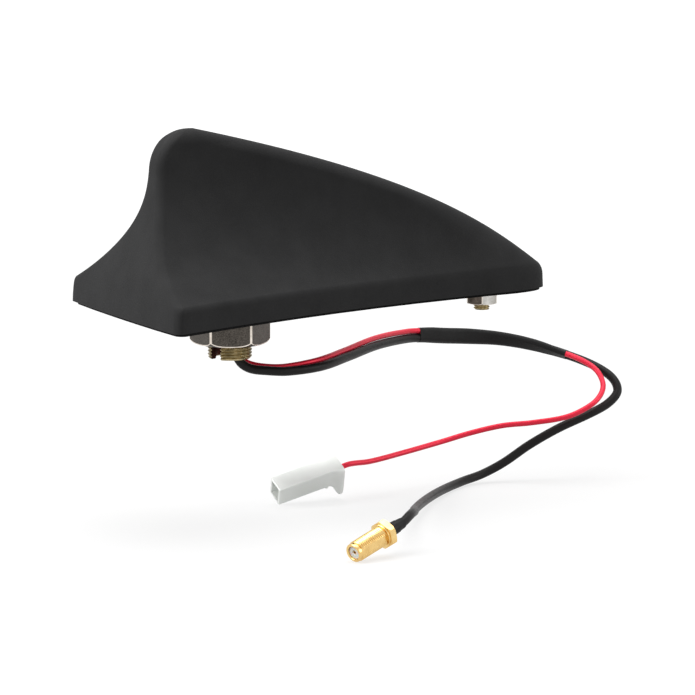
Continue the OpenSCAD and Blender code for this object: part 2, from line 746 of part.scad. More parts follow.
module plug_housing() {
    color([0.88, 0.9, 0.87]) on_axis(plug_at, plug_yaw, plug_dip, plug_roll) difference() {
        union() {
            linear_extrude(plug_l) plug_outline(0);
            plug_ear(1);
            plug_ear(-1);
            translate([-plug_d / 2 + 1.2, plug_w / 2 - eps, 6]) cube([plug_d - 2.4, 0.5, 1.2]);
        }
        translate([0, 0, plug_l - plug_cavity_l]) linear_extrude(plug_cavity_l + 1) plug_outline(-plug_wall);
        translate([0, 0, -1]) cylinder(r = wire_r + wire_hole_gap + 0.5, h = plug_l);
    }
}

module plug_terminal() {
    color([0.75, 0.72, 0.6]) on_axis(plug_at, plug_yaw, plug_dip, plug_roll) union() {
        cylinder(r = wire_r + 0.45, h = plug_l - plug_cavity_l + 1);
        translate([-2.4, -0.5, plug_l - plug_cavity_l + eps]) cube([4.8, 1, 6]);
        translate([-1.4, -0.4, plug_l - plug_cavity_l + 5.9]) cube([2.8, 0.8, 5]);
    }
}

fin_cover();
base_plate();
seal_gasket();
roof_stud();
roof_nut();
toothed_washer();
nose_stud();
nose_nut();
cover_screws();
amplifier_board();
board_screws();
shield_can();
antenna_board();
antenna_track();
coax_cable();
supply_wire();
cord_sleeve();
boot_sleeve();
jack_body();
jack_insulator();
jack_contact();
plug_housing();
plug_terminal();
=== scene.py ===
"""Looks of the shark fin roof aerial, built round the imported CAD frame.

Lengths in this file are millimetres, as in the part's source, and MM turns them into metres.
The origin is on the roof stud's axis at the roof's outer skin, the nose points along +X.
"""

import math

import bmesh
import bpy
from mathutils import Matrix, Vector


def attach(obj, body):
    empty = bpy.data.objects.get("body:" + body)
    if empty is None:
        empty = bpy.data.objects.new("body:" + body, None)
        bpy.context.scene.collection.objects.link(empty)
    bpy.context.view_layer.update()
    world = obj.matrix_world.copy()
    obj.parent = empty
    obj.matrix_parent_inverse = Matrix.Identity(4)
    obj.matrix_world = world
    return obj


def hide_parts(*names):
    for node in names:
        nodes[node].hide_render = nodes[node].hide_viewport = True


MM = 0.001
IMAGE_SIDE = 695  # pixels, the photograph's width and height

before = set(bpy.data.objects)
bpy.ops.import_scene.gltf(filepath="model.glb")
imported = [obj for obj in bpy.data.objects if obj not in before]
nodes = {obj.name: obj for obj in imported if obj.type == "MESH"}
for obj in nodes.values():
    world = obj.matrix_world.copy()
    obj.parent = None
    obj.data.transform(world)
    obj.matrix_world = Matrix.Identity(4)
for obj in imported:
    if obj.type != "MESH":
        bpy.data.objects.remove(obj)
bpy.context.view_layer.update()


# ---------------------------------------------------------------- camera

CAMERA_TARGET = Vector((35.74, -10.62, -12.25))
CAMERA_DISTANCE = 1300.0
CAMERA_AZIMUTH = math.radians(-28.0)
CAMERA_ELEVATION = math.radians(9.41)
CAMERA_ROLL = math.radians(0.24)
CAMERA_FOCAL = 4160.0  # pixels
SENSOR = 36.0


def make_camera():
    """The photograph's view: a long lens, low over the rear left corner."""
    back = Vector(
        (
            math.sin(CAMERA_AZIMUTH) * math.cos(CAMERA_ELEVATION),
            -math.cos(CAMERA_AZIMUTH) * math.cos(CAMERA_ELEVATION),
            math.sin(CAMERA_ELEVATION),
        )
    )
    right = (-back).cross(Vector((0, 0, 1))).normalized()
    up = right.cross(-back)
    x_axis = right * math.cos(CAMERA_ROLL) + up * math.sin(CAMERA_ROLL)
    y_axis = up * math.cos(CAMERA_ROLL) - right * math.sin(CAMERA_ROLL)
    data = bpy.data.cameras.new("camera")
    data.sensor_width = SENSOR
    data.lens = SENSOR * CAMERA_FOCAL / IMAGE_SIDE
    data.clip_start = 0.05
    data.clip_end = 20.0
    camera = bpy.data.objects.new("camera", data)
    bpy.context.scene.collection.objects.link(camera)
    turn = Matrix((x_axis, y_axis, back)).transposed().to_4x4()
    camera.matrix_world = (
        Matrix.Translation((CAMERA_TARGET + back * CAMERA_DISTANCE) * MM) @ turn
    )
    bpy.context.scene.camera = camera


make_camera()


# ---------------------------------------------------------------- mesh helpers


def link(name, mesh):
    piece = bpy.data.objects.new(name, mesh)
    bpy.context.scene.collection.objects.link(piece)
    return piece


def mesh_object(name, points, faces, smooth=True):
    """A mesh object from points in millimetres, with its normals made to agree."""
    mesh = bpy.data.meshes.new(name)
    mesh.from_pydata([tuple(c * MM for c in p) for p in points], [], faces)
    work = bmesh.new()
    work.from_mesh(mesh)
    bmesh.ops.remove_doubles(work, verts=work.verts, dist=1e-7)
    bmesh.ops.recalc_face_normals(work, faces=work.faces)
    work.to_mesh(mesh)
    work.free()
    mesh.validate()
    piece = link(name, mesh)
    if smooth:
        shade(piece)
    return piece


CUT_ANGLE = 40.0  # degrees, above which an edge of a cut piece stays sharp


def shade(piece, angle=35.0):
    """Smooth shading, broken at edges sharper than the angle."""
    for polygon in piece.data.polygons:
        polygon.use_smooth = True
    work = bmesh.new()
    work.from_mesh(piece.data)
    limit = math.radians(angle)
    for edge in work.edges:
        edge.smooth = len(edge.link_faces) == 2 and edge.calc_face_angle() < limit
    work.to_mesh(piece.data)
    work.free()


def ring_faces(rows, around, closed=False):
    """Quads between neighbouring rings of points, and from the last to the first if closed."""
    faces = []
    for i in range(rows if closed else rows - 1):
        a, b = i * around, (i + 1) % rows * around
        for j in range(around):
            k = (j + 1) % around
            faces.append((a + j, a + k, b + k, b + j))
    return faces


def circle_rows(profile, around):
    """Round rings of points about Z, one for each (radius, height) of a profile."""
    turns = [2 * math.pi * j / around for j in range(around)]
    return [
        [(radius * math.cos(a), radius * math.sin(a), height) for a in turns]
        for radius, height in profile
    ]


def lathe(name, profile, around=96, closed=True, smooth=True):
    """A ring turned about Z from (radius, height) points.

    closed joins its last point to its first.
    """
    points = [p for row in circle_rows(profile, around) for p in row]
    return mesh_object(name, points, ring_faces(len(profile), around, closed), smooth)


def rectangle(width, depth):
    w, d = width / 2, depth / 2
    return [(-w, -d), (w, -d), (w, d), (-w, d)]


def prism(name, outline, low, high):
    """A straight prism over an outline in the XY plane."""
    n = len(outline)
    points = [(x, y, low) for x, y in outline] + [(x, y, high) for x, y in outline]
    faces = [tuple(reversed(range(n))), tuple(range(n, 2 * n))]
    faces += [(i, (i + 1) % n, n + (i + 1) % n, n + i) for i in range(n)]
    return mesh_object(name, points, faces, smooth=False)


def applied(piece):
    """Puts the result of a piece's modifiers into its mesh."""
    graph = bpy.context.evaluated_depsgraph_get()
    mesh = bpy.data.meshes.new_from_object(piece.evaluated_get(graph))
    old = piece.data
    piece.modifiers.clear()
    piece.data = mesh
    bpy.data.meshes.remove(old)
    return piece


def combine(piece, tool, operation):
    """Boolean of two closed pieces; the tool is used up."""
    modifier = piece.modifiers.new("cut", "BOOLEAN")
    modifier.operation = operation
    modifier.solver = "EXACT"
    modifier.object = tool
    bpy.context.view_layer.update()
    applied(piece)
    bpy.data.objects.remove(tool)
    return piece


def place(piece, matrix):
    """Moves a piece's points by a matrix given in millimetres."""
    scaled = matrix.copy()
    scaled.translation = matrix.translation * MM
    piece.data.transform(scaled)
    return piece


def keep(piece, slot, *replaced):
    """The piece rides on the part and stands for CAD nodes. Its slot is not used."""
    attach(piece, "root")
    if replaced:
        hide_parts(*replaced)
    return piece


# ---------------------------------------------------------------- routes of the leads

COAX_R = 1.45
WIRE_R = 0.9
LEAD_GAP = 0.05
BOARD_Z = 9.0
STUD_END_Z = -14.3

JACK_AT = Vector((18.9, -68, -58.8))
JACK_YAW, JACK_DIP = math.radians(-161.8), math.radians(16.1)
PLUG_AT = Vector((44.8, 12.2, -55.4))
# The roll is fitted to the corners in the photograph; the part's source has 30 degrees
PLUG_YAW, PLUG_DIP, PLUG_ROLL = (
    math.radians(177.1),
    math.radians(14.5),
    math.radians(145),
)

# The routes follow the part's own, but not exactly. The cable is up to 1.3 mm from it. The wire is
# up to 0.9 mm from it where it hangs free, 2.8 mm where it lies on the cable and 5.4 mm in the
# stud, because the photograph shows it behind the cable there and the part has it in front.
COAX_START = [(0.9, -0.4, BOARD_Z), (0.9, -0.4, -7)]
COAX_ROUTE = [
    (1.3, -0.9, -12), (2.8, -1.8, -15.8), (5.4, -3.4, -17.7),
    (9.7, -6, -18.3), (16, -8.4, -18.6), (28.1, -6.9, -18.3), (43.2, 3.4, -17.9),
    (61.5, 17.5, -17.6), (79.1, 29.5, -18.5), (87, 32.1, -19.1), (94.9, 33.5, -20.1),
    (104.8, 34.1, -21.1), (115.9, 33, -22.2), (125.9, 29.6, -24.1),
    (133.9, 24.2, -26.4), (140.4, 16.8, -29.2), (144.2, 10.6, -32.2),
    (145.4, 7.2, -35), (144.6, 5.2, -37.8), (140.6, 4.6, -41), (134, 4.8, -43.8),
    (124.1, 8.4, -48.5), (115.6, 12.5, -54), (107.7, 15.2, -59.6),
    (100.3, 16.4, -63), (92.3, 14.5, -64.2), (82, 7.3, -64.3), (70.2, -4.8, -63.4),
    (56, -22.8, -61.4), (43.7, -40.3, -59.2), (37.6, -51, -57.2),
    (32.4, -59.2, -55.7), (29.3, -63, -55.6),
]  # fmt: skip
HUG_FIRST = 5
# Degrees by which the wire is rolled round the cable from its upper side, point by point
HUG_ROLLS = [-67, -60, -42, -40, -15, 0, 10, 10, 13, 40, 54, 70]
SLEEVE_FIRST, SLEEVE_LAST = 10.625, 16.25  # places along the cable's points
WIRE_START = [(2.1, 2, BOARD_Z), (2.1, 2, -7)]
WIRE_FALL = [(2.2, 1.9, -11), (3.3, 1.1, -14.2), (6.3, -1.1, -16.5)]
WIRE_FREE = [
    (137, 15.6, -27.8), (139.6, 10.2, -30.6), (139.6, 6, -34.2),
    (137.1, 3, -37.2), (132.4, 1.4, -40.2), (124.6, 3.4, -43.8), (115, 9.5, -46),
    (106.9, 14.9, -47.2), (97.5, 18.8, -49.4), (86.4, 19.7, -51.7),
    (70.4, 17.1, -53.6), (57.1, 13.9, -54.6),
]  # fmt: skip
STEPS_PER_POINT = 8


def along(at, yaw, dip, distance):
    """Point on a connector's axis, measured forward from its rear face."""
    return at + distance * Vector(
        (
            math.cos(dip) * math.cos(yaw),
            math.cos(dip) * math.sin(yaw),
            -math.sin(dip),
        )
    )


def vectors(points):
    return [Vector(p) for p in points]


def tangent(path, i):
    return (path[min(i + 1, len(path) - 1)] - path[max(i - 1, 0)]).normalized()


def smooth_route(path):
    """A curve through the path's points, with the same number of steps between each two."""
    fine = []
    last = len(path) - 1
    for i in range(last):
        p0 = path[i - 1] if i else path[0] * 2 - path[1]
        p3 = path[i + 2] if i + 2 <= last else path[last] * 2 - path[last - 1]
        p1, p2 = path[i], path[i + 1]
        span = (p2 - p1).length
        m1 = (p2 - p0) * span / ((p1 - p0).length + span)
        m2 = (p3 - p1) * span / ((p3 - p2).length + span)
        for k in range(STEPS_PER_POINT):
            t = k / STEPS_PER_POINT
            fine.append(
                p1 * (2 * t**3 - 3 * t**2 + 1)
                + m1 * (t**3 - 2 * t**2 + t)
                + p2 * (3 * t**2 - 2 * t**3)
                + m2 * (t**3 - t**2)
            )
    return fine + [path[last]]


def beside(path, i, roll):
    """Place of the wire that lies on the cable at a point of its path."""
    run = tangent(path, i)
    up = (Vector((0, 0, 1)) - run * run.z).normalized()
    pitch = COAX_R + WIRE_R + LEAD_GAP
    return path[i] + pitch * (up * math.cos(roll) + run.cross(up) * math.sin(roll))


coax_path = vectors(COAX_START + COAX_ROUTE)
coax_path += [along(JACK_AT, JACK_YAW, JACK_DIP, d) for d in (-7, 0)]
wire_hug = [
    beside(coax_path, HUG_FIRST + k, math.radians(roll))
    for k, roll in enumerate(HUG_ROLLS)
]
wire_path = vectors(WIRE_START + WIRE_FALL) + wire_hug + vectors(WIRE_FREE)
wire_path += [along(PLUG_AT, PLUG_YAW, PLUG_DIP, d) for d in (-4, 0)]
coax_line = smooth_route(coax_path)
wire_line = smooth_route(wire_path)


def round_lead(name, line, radius):
    """A lead as a curve of one open spline with a round section."""
    data = bpy.data.curves.new(name, "CURVE")
    data.dimensions = "3D"
    data.bevel_depth = 1.0  # metres, times each point's own radius
    data.bevel_resolution = 6
    data.use_fill_caps = True
    spline = data.splines.new("POLY")
    spline.points.add(len(line) - 1)
    for point, place_at in zip(spline.points, line):
        point.co = (*(place_at * MM), 1)
        point.radius = radius * MM
    spline.use_smooth = True
    lead = bpy.data.objects.new(name, data)
    bpy.context.scene.collection.objects.link(lead)
    return lead


coax = keep(round_lead("coax_lead", coax_line, COAX_R), "black_jacket", "coax_cable")
wire = keep(round_lead("supply_lead", wire_line, WIRE_R), "red_jacket", "supply_wire")


# ---------------------------------------------------------------- sleeve over both leads

SLEEVE_FIT = 0.08
SLEEVE_WALL = 0.2
SLEEVE_SHRUNK = 0.35  # share of fit and wall left at the ends, which have shrunk most
SLEEVE_TAPER = 6  # steps of the route over which each end thins out
SLEEVE_BACK, SLEEVE_FRONT = 20, 14  # steps round the cable's side and round the wire's


def hug_ring(a, b, run, grow):
    """Outline round both leads: big about the cable at a, small about the wire at b."""
    across = (b - a) - run * (b - a).dot(run)
    u = across.normalized()
    v = run.cross(u)
    ra, rb = COAX_R + grow, WIRE_R + grow
    turn = math.acos((ra - rb) / across.length)
    ring = []
    for k in range(SLEEVE_BACK + 1):
        w = turn + (2 * math.pi - 2 * turn) * k / SLEEVE_BACK
        ring.append(a + ra * (u * math.cos(w) + v * math.sin(w)))
    for k in range(SLEEVE_FRONT + 1):
        w = -turn + 2 * turn * k / SLEEVE_FRONT
        ring.append(a + across + rb * (u * math.cos(w) + v * math.sin(w)))
    return ring


def make_sleeve():
    """Heat shrink round the cable and the wire, open at both ends."""
    first = int(SLEEVE_FIRST * STEPS_PER_POINT)
    last = int(SLEEVE_LAST * STEPS_PER_POINT)
    wire_first = first - HUG_FIRST * STEPS_PER_POINT
    wire_first += (len(WIRE_START) + len(WIRE_FALL)) * STEPS_PER_POINT
    outer, inner = [], []
    count = last - first
    for k in range(count + 1):
        a, b = coax_line[first + k], wire_line[wire_first + k]
        run = tangent(coax_line, first + k)
        from_end = min(1.0, min(k, count - k) / SLEEVE_TAPER)
        share = SLEEVE_SHRUNK + (1 - SLEEVE_SHRUNK) * from_end
        outer.append(hug_ring(a, b, run, (SLEEVE_FIT + SLEEVE_WALL) * share))
        inner.append(hug_ring(a, b, run, SLEEVE_FIT * share))
    rows = outer + list(reversed(inner))
    around = len(rows[0])
    points = [p for row in rows for p in row]
    return mesh_object("lead_sleeve", points, ring_faces(len(rows), around, True))


sleeve = keep(make_sleeve(), "heat_shrink", "cord_sleeve")


# ---------------------------------------------------------------- cover

COVER_H = 58.0
COVER_W = 77.0
REAR_REACH = 36.8
NOSE_REACH = 112.2
RIM_H = 9.0
RIM_DRAFT = 0.4
RIM_ROUND, RIM_TURN = 2.2, math.radians(65)
NOSE_ROUND, NOSE_TURN = 5.0, math.radians(50)
BLADE_T = 8.6
REAR_RAKE = 10.7
NOSE_HALF_W = 8.4
CROWN_R = 12.0
WALL = 2.0
LIP_GAP = 0.9
CREST_X = REAR_RAKE + CROWN_R + 1.3 - REAR_REACH
REAR_BOW = 0.8
SIDE_SAG = 4.6
FLARE_POWER = 3.44
LEAN_START = 2.3
LEAN_POWER = 5.8
CREST_LINEAR = 0.534
CREST_POWER = 2.53
REAR_EDGE_R = 2.4
NOSE_ROUND_L = 20.0
HALF_BLADE = BLADE_T / 2
MIN_HALF_W, MIN_NOSE_HALF_W = 0.35, 0.3
ROUND_HOLD = 0.55  # length of a curve's handle at a round corner, as a share of the corner
RIM_HW = COVER_W / 2 - RIM_DRAFT - RIM_ROUND * (1 - math.cos(RIM_TURN))
INNER_DROP = WALL * 0.9
LEVELS = 84
WALL_LEVELS, TURN_LEVELS = 4, 14
OUTER_CROWDING, INNER_CROWDING = 1.6, 1.2  # how strongly the levels crowd towards the crest
CREST_TRIM = 0.01  # keeps the last level section from closing to a line
BACK_STEPS, EDGE_STEPS, SIDE_STEPS, NOSE_STEPS = 12, 8, 40, 18


def clamp(value, low=0.0, high=1.0):
    return max(low, min(high, value))


def rise(z):
    return clamp((z - RIM_H) / (COVER_H - RIM_H))


def round_in(z, radius, top):
    """How far a round edge under the height top pulls in at a height."""
    up = clamp(z - top + radius, 0, radius)
    return radius - math.sqrt(radius**2 - up**2)


def rim_in(z, radius, turn):
    """How far the rim wall stands inside the lower lip at a height.

    Its top edge turns by an angle and then runs on into the flare.
    """
    draft = RIM_DRAFT * clamp((z - LIP_GAP) / (RIM_H - LIP_GAP))
    return draft + round_in(min(z, RIM_H), radius, RIM_H + radius * (1 - math.sin(turn)))


def cap_in(z, radius):
    return round_in(z, radius, COVER_H)


def nose_base(z):
    return NOSE_REACH - rim_in(z, NOSE_ROUND, NOSE_TURN)


def crest_run(z):
    s = rise(z)
    return CREST_LINEAR * s + (1 - CREST_LINEAR) * s**CREST_POWER


def crest_slope(z):
    s = rise(z)
    steep = CREST_LINEAR + (1 - CREST_LINEAR) * CREST_POWER * s ** (CREST_POWER - 1)
    return (nose_base(z) - CREST_X) / (COVER_H - RIM_H) * steep


def rear_half_w(z):
    if z < RIM_H:
        return COVER_W / 2 - rim_in(z, RIM_ROUND, RIM_TURN)
    flare = (1 - rise(z)) ** FLARE_POWER
    flared = HALF_BLADE + (RIM_HW - HALF_BLADE) * flare
    return max(MIN_HALF_W, flared - cap_in(z, HALF_BLADE))


def rear_x(z):
    """The rear face is one hollow curve from the lip to the crest, with no rim."""
    t = clamp((z - LIP_GAP) / (COVER_H - LIP_GAP))
    lean = REAR_RAKE * (1 - (1 - t**LEAN_START) ** LEAN_POWER)
    return -REAR_REACH + lean + cap_in(z, CROWN_R)


def nose_x(z):
    return nose_base(z) - (nose_base(z) - CREST_X) * crest_run(z)


def nose_w(z):
    return HALF_BLADE + (NOSE_HALF_W - HALF_BLADE) * (1 - rise(z)) ** 4


def bezier(p0, p1, p2, p3, t):
    q = 1 - t
    return p0 * q**3 + p1 * (3 * q * q * t) + p2 * (3 * q * t * t) + p3 * t**3


def half_section(z, inset):
    """Half of a level section, from the middle of the rear face round to the nose."""
    s = rise(z)
    y1 = max(MIN_HALF_W, rear_half_w(z) - inset)
    x0 = rear_x(z) + inset
    x1 = nose_x(z) - inset
    edge = min(REAR_EDGE_R, y1 * 0.7)
    bow = REAR_BOW * (1 - s)
    span = max(2.0, x1 - x0 - edge)
    nose_l = min(span * 0.6, max(NOSE_ROUND_L * (1 - s), HALF_BLADE * crest_slope(z)))
    nw = min(y1, max(MIN_NOSE_HALF_W, nose_w(z) - inset))
    sag = SIDE_SAG * (1 - s) ** 2
    xs, xe = x0 + edge, x1 - nose_l
    points = []
    for k in range(BACK_STEPS):
        y = (y1 - edge) * k / BACK_STEPS
        points.append(Vector((x0 - bow * (1 - (y / y1) ** 2), y)))

    def side(t):
        return Vector((xs + (xe - xs) * t, y1 + (nw - y1) * t - 4 * sag * t * (1 - t)))

    slope = Vector((xe - xs, nw - y1 - 4 * sag)).normalized()
    end_slope = Vector((xe - xs, nw - y1 + 4 * sag)).normalized()
    start = Vector((x0 - bow * (1 - ((y1 - edge) / y1) ** 2), y1 - edge))
    hold = edge * ROUND_HOLD
    for k in range(EDGE_STEPS):
        points.append(
            bezier(
                start,
                start + Vector((0, hold)),
                side(0) - slope * hold,
                side(0),
                k / EDGE_STEPS,
            )
        )
    for k in range(SIDE_STEPS):
        points.append(side(k / SIDE_STEPS))
    tip = Vector((x1, 0))
    for k in range(NOSE_STEPS + 1):
        points.append(
            bezier(
                side(1),
                side(1) + end_slope * nose_l * ROUND_HOLD,
                tip + Vector((0, nw * ROUND_HOLD)),
                tip,
                k / NOSE_STEPS,
            )
        )
    return points


def section(z, inset):
    """A whole level section, set in from the outer skin by a distance."""
    half = half_section(z, inset)
    return [(p.x, p.y) for p in reversed(half)] + [(p.x, -p.y) for p in half[1:-1]]


def cover_levels(low, edge_z, edge_r, top, power, count):
    """Heights of the level sections: the wall, its round top edge and the flare above."""
    wall = edge_z - edge_r - low
    levels = [low + wall * k / WALL_LEVELS for k in range(WALL_LEVELS)]
    for k in range(TURN_LEVELS + 1):
        turn = math.pi / 2 * k / TURN_LEVELS
        levels.append(edge_z - edge_r + edge_r * math.sin(turn))
    for k in range(1, count + 1):
        levels.append(edge_z + (top - edge_z) * (1 - (1 - k / count) ** power))
    return levels


def make_cover():
    """The hollow shell: the outer loft, the same loft set in by the wall, and the lip between."""
    edge = NOSE_ROUND * math.sin(NOSE_TURN)
    outer_top = COVER_H - CREST_TRIM
    inner_top = COVER_H - INNER_DROP - WALL
    outer = cover_levels(LIP_GAP, RIM_H, edge, outer_top, OUTER_CROWDING, LEVELS)
    inner = cover_levels(
        LIP_GAP, RIM_H - INNER_DROP, edge, inner_top, INNER_CROWDING, LEVELS // 4
    )
    points = []
    for z in outer:
        points += [(x, y, z) for x, y in section(z, 0)]
    around = len(section(RIM_H, 0))
    for z in inner:
        points += [(x, y, z) for x, y in section(z + INNER_DROP, WALL)]
    rows = len(outer)
    start = rows * around
    faces = ring_faces(rows, around)
    faces.append(tuple(range((rows - 1) * around, rows * around)))
    faces += [tuple(v + start for v in f) for f in ring_faces(len(inner), around)]
    faces.append(tuple(start + (len(inner) - 1) * around + j for j in range(around)))
    for j in range(around):
        k = (j + 1) % around
        faces.append((j, k, start + k, start + j))
    return mesh_object("cover_shell", points, faces)


cover = keep(make_cover(), "cover_plastic", "fin_cover")


# ---------------------------------------------------------------- threads, nuts and studs

STUD_R = 6.9
STUD_BORE_R = 4.6
STUD_TOP = 6.5
STUD_HEAD_R = 10.4
STUD_HEAD_LOW = STUD_TOP - 2.0
STUD_THREAD_TOP = STUD_TOP - 2.2
STUD_PITCH, STUD_THREAD_DEPTH = 1.0, 0.5
STUD_MOUTH = 0.3  # chamfer at the bore's end
STUD_WAY_R = STUD_R - 0.7  # faces nearer the axis than this belong to the cable's way
SLOT_TOLERANCE = 0.01
SLOT_W, SLOT_L, SLOT_TURN = 3.9, 11.0, math.radians(21)
NUT_AF, NUT_H, NUT_TURN = 22.0, 8.6, math.radians(35.4)
WASHER_T = 1.1
NOSE_STUD_X = 90.0
NOSE_STUD_R = 2.6
NOSE_STUD_END, NOSE_THREAD_TOP = -5.3, 4.3
NOSE_PITCH, NOSE_THREAD_DEPTH, NOSE_LEAD_IN = 0.8, 0.4, 0.2
NOSE_HEAD_R, NOSE_HEAD_LOW, NOSE_HEAD_TOP = 4.4, 4.5, 5.7
NOSE_NUT_AF, NOSE_NUT_H, NOSE_NUT_TURN = 9.5, 3.4, math.radians(2)


def thread_depth(turn, sharp=0.16):
    """Share of the thread's depth at a place along its pitch, flat at crest and root."""
    wave = abs(2 * (turn % 1.0) - 1)
    return clamp((wave - sharp) / (1 - 2 * sharp))


def thread_rows(radius, pitch, depth, low, high, around, per_pitch=10, lead_in=0.6):
    """Rings of points on a threaded outside, from low to high, fading out at the low end."""
    count = int((high - low) / pitch * per_pitch)
    rows = []
    for i in range(count + 1):
        z = low + (high - low) * i / count
        chamfer = max(0.0, lead_in - (z - low)) * 0.9
        row = []
        for j in range(around):
            a = 2 * math.pi * j / around
            r = radius - depth * thread_depth(z / pitch - j / around)
            r = min(r, radius - chamfer)
            row.append((r * math.cos(a), r * math.sin(a), z))
        rows.append(row)
    return rows


def rows_object(name, rows, closed=True):
    around = len(rows[0])
    faces = ring_faces(len(rows), around, closed)
    if not closed:
        last = (len(rows) - 1) * around
        faces += [tuple(range(around)), tuple(range(last, last + around))]
    return mesh_object(name, [p for row in rows for p in row], faces)


def make_roof_stud():
    """Hollow threaded stud with a head, and a slot across its lower end."""
    around = 144
    rows = thread_rows(
        STUD_R, STUD_PITCH, STUD_THREAD_DEPTH, STUD_END_Z, STUD_THREAD_TOP, around
    )
    rows += circle_rows(
        [
            (STUD_R, STUD_HEAD_LOW),
            (STUD_HEAD_R, STUD_HEAD_LOW),
            (STUD_HEAD_R, STUD_TOP),
            (STUD_BORE_R, STUD_TOP),
            (STUD_BORE_R, STUD_END_Z + STUD_MOUTH),
            (STUD_BORE_R + STUD_MOUTH, STUD_END_Z),
        ],
        around,
    )
    stud = rows_object("threaded_stud", rows)
    across_stud = rectangle(2 * (STUD_R + 1), SLOT_W)
    slot = prism("slot_tool", across_stud, STUD_END_Z - 1, STUD_END_Z + SLOT_L)
    place(slot, Matrix.Rotation(SLOT_TURN, 4, "Z"))
    combine(stud, slot, "DIFFERENCE")
    shade(stud, CUT_ANGLE)
    for _ in range(2):  # one finish for the outside, one of painted shade for the way and the slot's walls
        stud.data.materials.append(None)
    # Faces of the cable's way and the slot's walls get the second material, a dark red-brown
    # painted shade
    for face in stud.data.polygons:
        x, y, z = face.center / MM
        across = abs(y * math.cos(SLOT_TURN) - x * math.sin(SLOT_TURN))
        on_slot = abs(across - SLOT_W / 2) < SLOT_TOLERANCE
        inside = math.hypot(x, y) < STUD_WAY_R or on_slot
        if inside and z < 0 and abs(face.normal.z) < 0.5:
            face.material_index = 1
    return stud


NUT_FALL = 0.66  # height of a nut's turned end as a share of its chamfer's depth
NUT_BLEND = 0.35  # over this share of its edge a flat runs into the turned end
NUT_MOUTH = 0.5  # chamfer of the bore
NUT_MOUTH_REACH = 0.6  # faces nearer the bore than this never get the painted highlight
NUT_ROW_GAP = 0.004  # least height between two rows of points
NUT_EDGE_ROWS = (-0.19, -0.06, 0.06, 0.19, 0.38, 0.56)  # rows at the edge that gets the painted highlight, as its shares
NUT_HIGHLIGHT_FROM, NUT_HIGHLIGHT_TO = -0.06, 0.34
NUT_CORNER_SHARES = (0.35, 0.7, 1.0)
NUT_FLAT_DEGREES = (3, 5, 7.5, 10, 13, 16, 19, 22, 25, 28)


def make_nut(name, across_flats, height, bore, chamfer, edge):
    """Hexagon nut with rounded corners, its ends turned down to an elliptic profile.

    Its second material is a painted highlight on the edges: the corners and where flats meet the
    turned ends.
    """
    flat = across_flats / 2
    corner = across_flats / math.sqrt(3)
    fall = chamfer * NUT_FALL
    centre = (flat - edge) / math.cos(math.pi / 6)
    reach = math.atan2(edge / 2, centre + edge * math.cos(math.pi / 6))

    def hexagon(off):
        """Radius at an angle from the nearest corner."""
        if abs(off) < reach:
            return centre * math.cos(off) + math.sqrt(
                edge**2 - (centre * math.sin(off)) ** 2
            )
        return flat / math.cos(math.pi / 6 - abs(off))

    def turned(z):
        return corner - chamfer * (1 - math.sqrt(1 - max(0.0, 1 - z / fall) ** 2))

    def meet(off):
        """Height at which the flat or corner runs into the turned end."""
        share = clamp(1 - (corner - hexagon(off)) / chamfer)
        return fall * (1 - math.sqrt(1 - share**2))

    def smaller(one, other, blend):
        mix = clamp(0.5 + 0.5 * (other - one) / blend)
        return other + (one - other) * mix - blend * mix * (1 - mix)

    half = [reach * share for share in NUT_CORNER_SHARES]
    half += [math.radians(degrees) for degrees in NUT_FLAT_DEGREES]
    offs = [-off for off in reversed(half)] + [0.0] + half + [math.pi / 6]
    columns = []
    for k in range(6):
        for off in offs:
            start = meet(off)
            low = [0.0, 0.5 * max(NUT_ROW_GAP, start + NUT_EDGE_ROWS[0] * edge)]
            for i, step in enumerate(NUT_EDGE_ROWS):
                low.append(max(NUT_ROW_GAP * (i + 1), start + step * edge))
            angle = math.pi / 3 * k + off
            column = []
            for z in low + [height - h for h in reversed(low)]:
                from_end = min(z, height - z)
                r = smaller(hexagon(off), turned(from_end), NUT_BLEND * edge)
                column.append((r * math.cos(angle), r * math.sin(angle), z))
            for r, z in (
                (bore + NUT_MOUTH, height),
                (bore, height - NUT_MOUTH),
                (bore, NUT_MOUTH),
                (bore + NUT_MOUTH, 0),
            ):
                column.append((r * math.cos(angle), r * math.sin(angle), z))
            columns.append(column)
    nut = rows_object(name, list(zip(*columns)))
    for _ in range(2):
        nut.data.materials.append(None)
    for face in nut.data.polygons:
        x, y, z = face.center / MM
        if math.hypot(x, y) < bore + NUT_MOUTH_REACH:
            continue
        off = (math.atan2(y, x) + math.pi / 6) % (math.pi / 3) - math.pi / 6
        above = min(z, height - z) - meet(off)
        # The corners and the bands where flats meet the turned ends get the painted highlight
        at_end = NUT_HIGHLIGHT_FROM * edge < above < NUT_HIGHLIGHT_TO * edge
        if at_end or (abs(off) < reach and above > 0):
            face.material_index = 1
    return nut


roof_stud = keep(make_roof_stud(), "stud_steel", "roof_stud")

roof_nut = make_nut(
    "hex_nut_roof", NUT_AF, NUT_H, bore=STUD_R - 0.3, chamfer=3.0, edge=0.8
)
place(
    roof_nut,
    Matrix.Translation((0, 0, -WASHER_T - NUT_H)) @ Matrix.Rotation(NUT_TURN, 4, "Z"),
)
keep(roof_nut, "nut_steel", "roof_nut")

nose_nut = make_nut(
    "hex_nut_nose", NOSE_NUT_AF, NOSE_NUT_H, bore=NOSE_STUD_R - 0.2, chamfer=1.2, edge=0.3
)
place(
    nose_nut,
    Matrix.Translation((NOSE_STUD_X, 0, -NOSE_NUT_H))
    @ Matrix.Rotation(NOSE_NUT_TURN, 4, "Z"),
)
keep(nose_nut, "bright_steel", "nose_nut")


